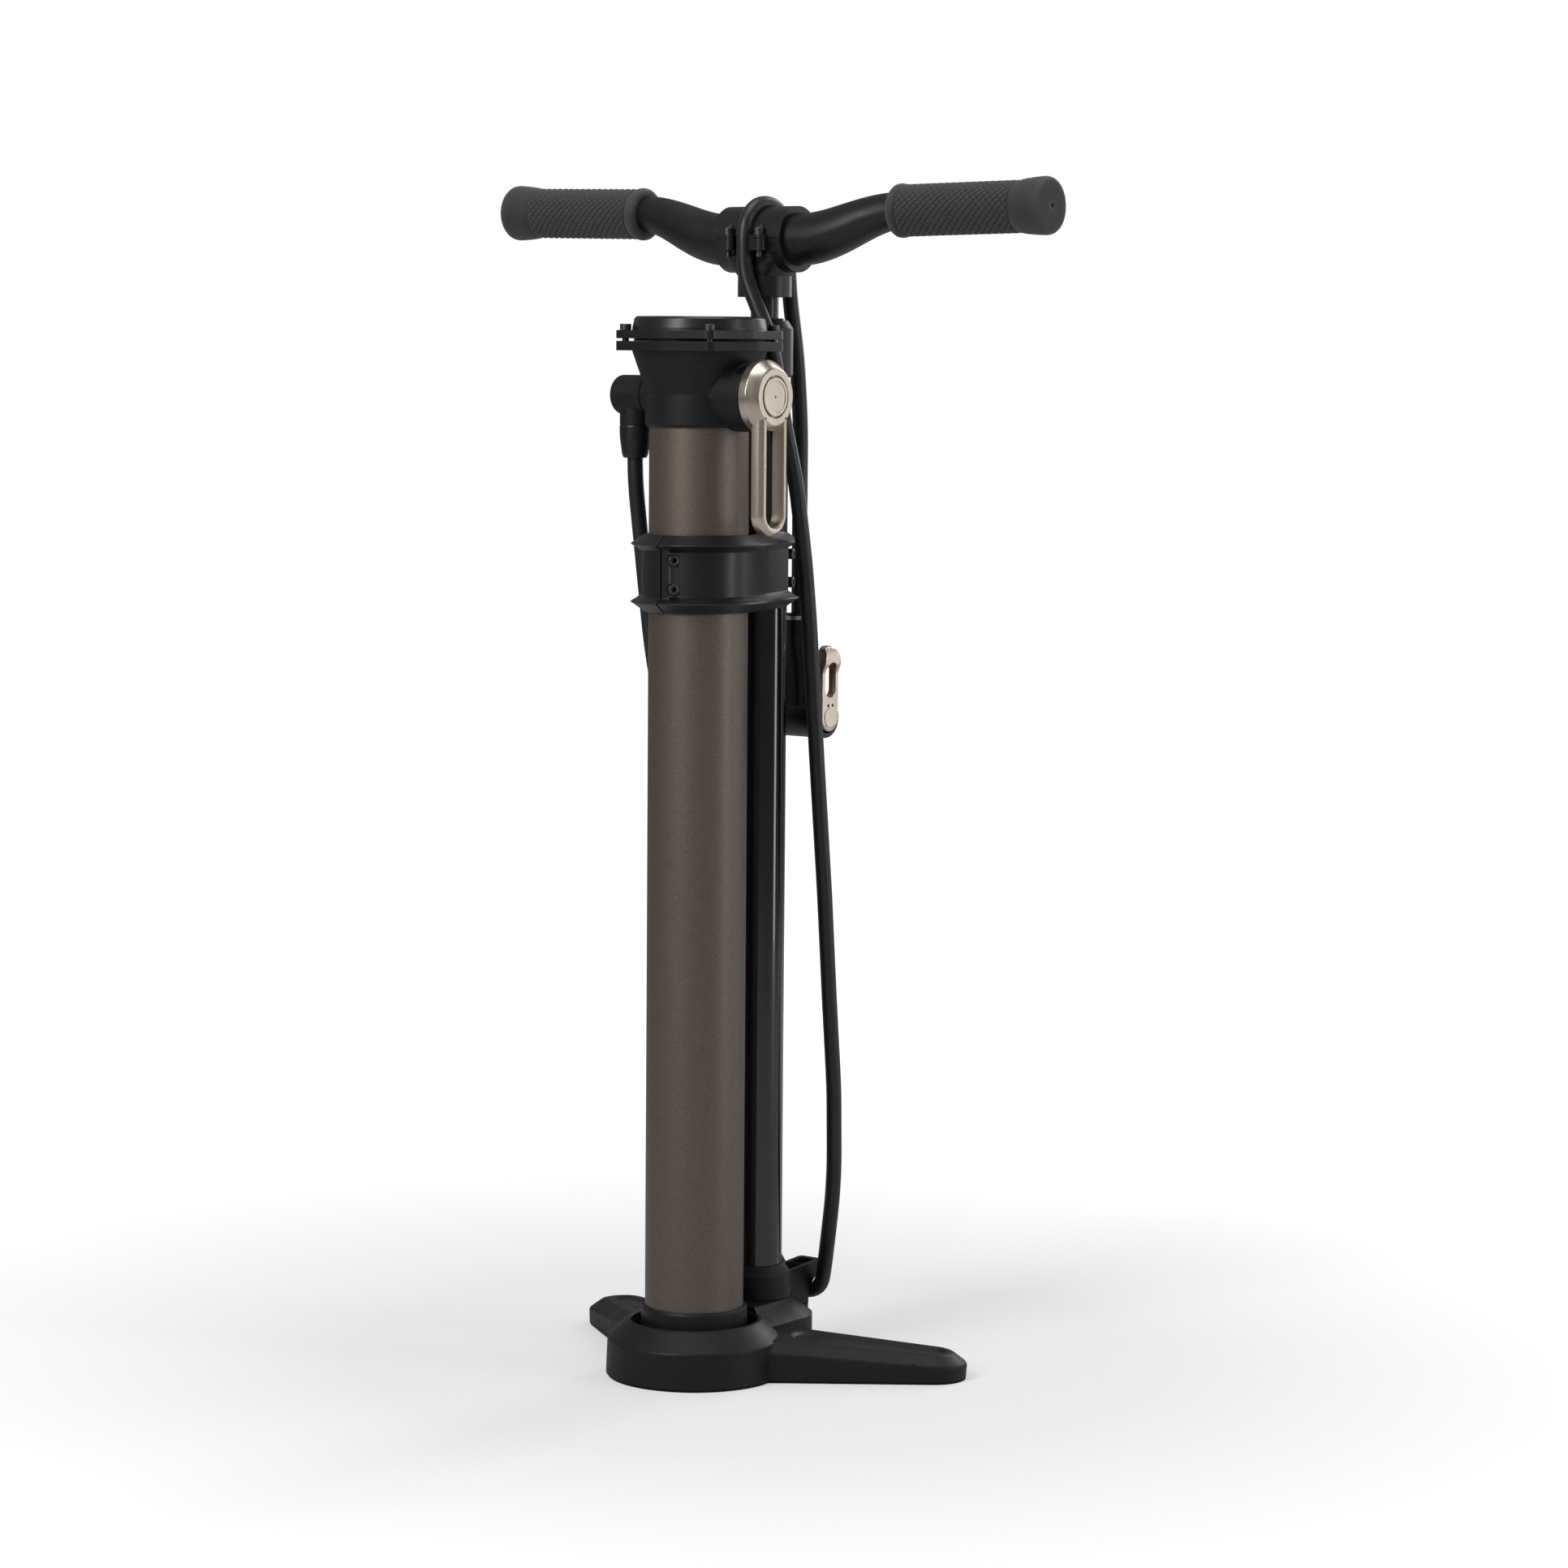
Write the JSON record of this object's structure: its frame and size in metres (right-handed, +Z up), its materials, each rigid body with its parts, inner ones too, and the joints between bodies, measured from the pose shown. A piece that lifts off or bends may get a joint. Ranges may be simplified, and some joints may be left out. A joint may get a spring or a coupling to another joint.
{
  "type": "floor bike pump",
  "caption": "Floor bike pump with a wide upright air chamber beside a slim barrel, splayed V-shaped feet, a T-handle with grips, a top gauge, a side selector lever and a parked hose head.",
  "frame": {"origin": "on the floor, under the axis of the slim pump barrel", "axes": "+Z up; +X towards the right-hand grip and the selector lever; +Y to the rear, away from the air chamber"},
  "size_m": [0.408, 0.1753, 0.7255],
  "materials": {
    "housing_black": "fine textured black",
    "satin_black": "satin black anodised",
    "gloss_black": "gloss black",
    "rod_black": "satin black",
    "bronze_paint": "metallic bronze-brown",
    "champagne": "satin champagne anodised",
    "plain_aluminium": "satin",
    "bolt_bronze": "dark bronze plated",
    "screw_steel": "zinc plated",
    "spring_steel": "drawn wire",
    "brass_part": "machined",
    "hose_rubber": "smooth satin black",
    "rubber_black": "matte black",
    "grip_rubber": "fine diamond knurl, matte dark grey",
    "clear_lens": "clear",
    "dial_white": "printed",
    "needle_red": "painted",
    "button_red": "moulded red"
  },
  "bodies": {
    "pump_body": {"base": "housing_black", "floor_sole": "rubber_black", "base_screws": "screw_steel", "chamber_tube": "bronze_paint", "chamber_plug": "housing_black", "chamber_seals": "rubber_black", "upper_spigot": "plain_aluminium", "barrel_tube": "gloss_black", "barrel_foot": "housing_black", "barrel_seals": "rubber_black", "barrel_cap": "satin_black", "rod_bush": "housing_black", "check_spring": "spring_steel", "gauge_housing": "housing_black", "gauge_bezel": "satin_black", "gauge_gasket": "rubber_black", "gauge_bolts": "bolt_bronze", "gauge_lens": "clear_lens", "gauge_dial": "dial_white", "gauge_movement": "brass_part", "bourdon_tube": "brass_part", "clamp_right": "satin_black", "clamp_left": "satin_black", "clamp_screws": "bolt_bronze", "hose": "hose_rubber"},
    "handle": {"rod": "rod_black", "piston": "housing_black", "piston_seal": "rubber_black", "handle_stem": "satin_black", "handle_clamp_cap": "satin_black", "handle_clamp_bolts": "bolt_bronze", "handlebar": "satin_black", "grip_right": "grip_rubber", "grip_left": "grip_rubber"},
    "selector": {"selector_lever": "champagne", "selector_cap": "champagne", "selector_spool": "brass_part", "spool_seals": "rubber_black"},
    "needle": {"gauge_needle": "needle_red"},
    "elbow": {"hose_elbow": "housing_black", "hose_ferrule": "satin_black"},
    "pump_head": {"head_body": "satin_black", "head_swivel": "satin_black", "head_ring": "plain_aluminium", "head_collar": "satin_black", "head_gasket": "rubber_black", "head_hinge_pin": "screw_steel"},
    "thumb_lever": {"head_lever": "champagne"},
    "plunger": {"head_plunger": "brass_part"},
    "bleed": {"bleed_button": "button_red"},
    "check_poppet": {"check_valve": "brass_part"}
  },
  "joints": [
    {"name": "handle_slide", "type": "slide", "parent": "pump_body", "child": "handle", "axis": [0, 0, 1], "range_m": [0, 0.5], "deforming": ["hose"]},
    {"name": "selector_turn", "type": "hinge", "parent": "pump_body", "child": "selector", "pos_m": [0.05, -0.0644, 0.5956], "axis": [-1, 0, 0], "range_deg": [0, 90]},
    {"name": "needle_sweep", "type": "hinge", "parent": "pump_body", "child": "needle", "pos_m": [0, -0.0644, 0.633], "axis": [0, 0, -1], "range_deg": [0, 270]},
    {"name": "elbow_swivel", "type": "hinge", "parent": "pump_body", "child": "elbow", "pos_m": [-0.049, -0.0644, 0.5956], "axis": [1, 0, 0], "range_deg": [-25, 25], "deforming": ["hose"]},
    {"name": "head_unclip", "type": "slide", "parent": "pump_body", "child": "pump_head", "axis": [0, 1, 0], "range_m": [0, 0.06], "deforming": ["hose"]},
    {"name": "thumb_lever_flip", "type": "hinge", "parent": "pump_head", "child": "thumb_lever", "pos_m": [0.0204, 0.0376, 0.397], "axis": [0, 1, 0], "range_deg": [0, 90]},
    {"name": "plunger_slide", "type": "slide", "parent": "pump_head", "child": "plunger", "axis": [-1, 0, 0], "range_m": [0, 0.0021]},
    {"name": "bleed_press", "type": "slide", "parent": "pump_head", "child": "bleed", "axis": [-1, 0, 0], "range_m": [0, 0.0018]},
    {"name": "check_valve_lift", "type": "slide", "parent": "pump_body", "child": "check_poppet", "axis": [0, 0, -1], "range_m": [0, 0.0025], "deforming": ["check_spring"]}
  ],
  "couplings": [
    {"joint": "plunger_slide", "follows": "thumb_lever_flip", "m_per_rad": 0.0012732}
  ]
}
